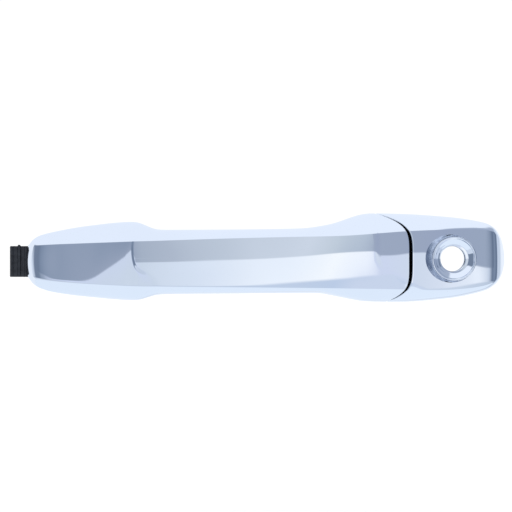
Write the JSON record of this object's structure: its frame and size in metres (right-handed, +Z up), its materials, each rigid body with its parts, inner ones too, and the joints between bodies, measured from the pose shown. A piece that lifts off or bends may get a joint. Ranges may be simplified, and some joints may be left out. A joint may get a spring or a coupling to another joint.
{
  "type": "car door outside handle",
  "caption": "Outside pull handle for a car door: waisted bright grip hinged at its front end, fixed cap with a round lock passage, and the carrier with release crank behind.",
  "frame": {"origin": "on the carrier's flat door pad, at the middle of the handle's length and on the inner face of the door skin", "axes": "+X along the handle towards the rear of the car, +Z up, -Y out of the door towards the person who pulls it"},
  "size_m": [0.2332, 0.0836, 0.0417],
  "materials": {
    "chrome_plate": "bright polished plating",
    "black_nylon": "glass-filled, fine satin grain",
    "black_rubber": "matt moulded rubber",
    "zinc_plated_steel": "zinc plated",
    "zinc_die_cast": "tumbled die casting",
    "brass": "turned",
    "spring_steel": "oiled wire",
    "bush_polymer": "natural acetal"
  },
  "bodies": {
    "carrier": {"base_frame": "black_nylon", "front_pivot_bush": "bush_polymer", "front_gasket": "black_rubber", "rear_gasket": "black_rubber", "frame_seal_front": "black_rubber", "frame_seal_rear": "black_rubber", "mounting_screw_front": "zinc_plated_steel", "mounting_insert_front": "brass", "rest_bumper": "black_rubber", "key_cap": "chrome_plate", "key_bezel": "chrome_plate", "cylinder_housing": "black_nylon", "cap_screw_front": "zinc_plated_steel", "cap_screw_rear": "zinc_plated_steel", "cap_retaining_screw": "zinc_plated_steel", "cap_screw_insert": "brass", "crank_pin": "zinc_plated_steel", "crank_pin_clip": "spring_steel", "return_spring": "spring_steel"},
    "grip": {"grip_outer_shell": "chrome_plate", "grip_inner_shell": "black_nylon", "front_pivot_arm": "black_nylon", "front_pivot_pin": "zinc_plated_steel", "rear_pull_arm": "zinc_die_cast", "grip_screw_front": "zinc_plated_steel", "grip_screw_middle": "zinc_plated_steel", "grip_screw_rear": "zinc_plated_steel"},
    "crank": {"release_crank": "zinc_die_cast", "counterweight": "zinc_plated_steel"},
    "clip": {"rod_clip": "bush_polymer"}
  },
  "joints": [
    {"name": "grip_hinge", "type": "hinge", "parent": "carrier", "child": "grip", "pos_m": [-0.11, 0.009, 0], "axis": [0, 0, -1], "range_deg": [0, 8], "stiffness_Nm_per_rad": 10, "springref_deg": -8.59},
    {"name": "crank_turn", "type": "hinge", "parent": "carrier", "child": "crank", "pos_m": [0.066, 0.019, 0.01], "axis": [-1, 0, 0], "range_deg": [0, 66.07], "deforming": ["return_spring"]},
    {"name": "rod_clip_swivel", "type": "hinge", "parent": "crank", "child": "clip", "pos_m": [0.0715, 0.0436, 0.0143], "axis": [1, 0, 0], "range_deg": [-60, 60]}
  ],
  "couplings": [
    {"joint": "crank_turn", "follows": "grip_hinge", "ratio": 8.2575}
  ]
}
